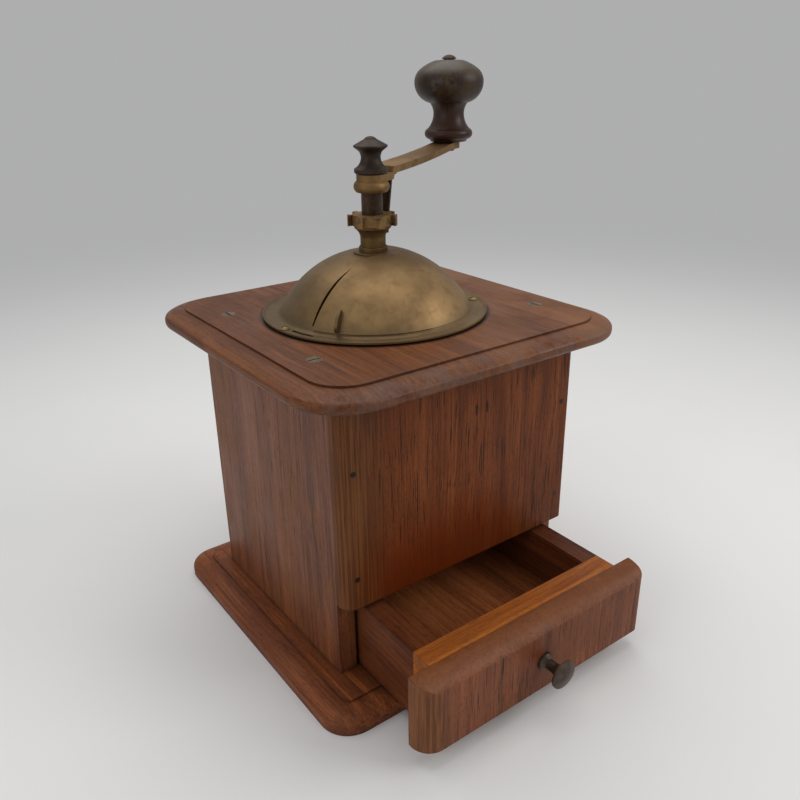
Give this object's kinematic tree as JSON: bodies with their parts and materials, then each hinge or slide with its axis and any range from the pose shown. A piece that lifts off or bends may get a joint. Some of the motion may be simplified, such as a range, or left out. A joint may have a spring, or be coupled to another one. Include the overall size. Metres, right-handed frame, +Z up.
{
  "type": "hand crank coffee grinder",
  "caption": "Antique wooden box coffee mill: domed brass hopper with a turning shutter, bent crank with a turned knob, and a front drawer for the ground coffee.",
  "frame": {"origin": "centre of the base board's underside, on the surface the mill stands on", "axes": "+Z up, -Y towards the side the drawer opens to, +X to the right of someone facing the drawer"},
  "size_m": [0.1552, 0.1925, 0.2427],
  "materials": {
    "walnut_case": "waxed, worn",
    "oak_panel": "waxed, streaky grain",
    "moulded_board": "waxed, scratched",
    "drawer_face_wood": "waxed, worn edges",
    "orange_wood": "oiled",
    "drawer_box_wood": "bare, handled",
    "patinated_brass": "dull patina",
    "crank_brass": "worn, brushed",
    "nut_brass": "rusty patina",
    "dark_steel": "browned, oxidised",
    "dark_turned_iron": "blackened",
    "knob_wood": "dark stained, polished by hand",
    "cast_iron": "as cast",
    "burr_steel": "ground",
    "old_screw_steel": "tarnished",
    "nail_steel": "rusted dark"
  },
  "bodies": {
    "case": {"base_plate": "moulded_board", "left_wall": "walnut_case", "right_wall": "walnut_case", "front_panel": "oak_panel", "back_panel": "walnut_case", "top_plate": "moulded_board", "top_plate_screw_1": "old_screw_steel", "top_plate_screw_2": "old_screw_steel", "top_plate_screw_3": "old_screw_steel", "top_plate_screw_4": "old_screw_steel", "front_nail_1": "nail_steel", "front_nail_2": "nail_steel", "front_nail_3": "nail_steel", "front_nail_4": "nail_steel", "hopper_dome": "patinated_brass", "dome_screw_1": "old_screw_steel", "dome_screw_2": "old_screw_steel", "dome_screw_3": "old_screw_steel", "housing_screw_1": "old_screw_steel", "housing_screw_2": "old_screw_steel", "housing_screw_3": "old_screw_steel", "neck_bearing": "nut_brass", "neck_lock_nut": "nut_brass", "neck_washer": "nut_brass", "burr_housing": "cast_iron", "outer_burr_ring": "burr_steel", "bearing_bridge": "cast_iron"},
    "shutter": {"hopper_shutter": "patinated_brass", "shutter_tab": "patinated_brass"},
    "crank": {"crank_shaft": "dark_steel", "adjusting_nut": "nut_brass", "lock_tongue": "dark_steel", "crank_collar": "crank_brass", "crank_arm": "crank_brass", "finial_nut": "dark_turned_iron", "knob_spindle": "dark_steel", "burr_cone": "burr_steel", "burr_washer": "dark_steel", "burr_nut": "dark_steel", "burr_spring": "dark_steel"},
    "knob": {"crank_knob": "knob_wood"},
    "drawer": {"drawer_front": "drawer_face_wood", "drawer_box_front": "orange_wood", "drawer_left_side": "drawer_box_wood", "drawer_right_side": "drawer_box_wood", "drawer_back": "drawer_box_wood", "drawer_bottom": "drawer_box_wood", "drawer_handle": "dark_turned_iron", "drawer_handle_screw": "old_screw_steel"}
  },
  "joints": [
    {"name": "crank_turn", "type": "hinge", "parent": "case", "child": "crank", "pos_m": [-0.0035, 0.0011, 0.19], "axis": [0, 0, 1], "continuous": true},
    {"name": "knob_spin", "type": "hinge", "parent": "crank", "child": "knob", "pos_m": [0.06221, 0.03174, 0.22], "axis": [0, 0, 1], "continuous": true},
    {"name": "drawer_slide", "type": "slide", "parent": "case", "child": "drawer", "axis": [0, -1, 0], "range_m": [-0.0464, 0.0336]},
    {"name": "shutter_turn", "type": "hinge", "parent": "case", "child": "shutter", "pos_m": [-0.0035, 0.0011, 0.15], "axis": [0, 0, 1], "range_deg": [-4, 95]}
  ]
}
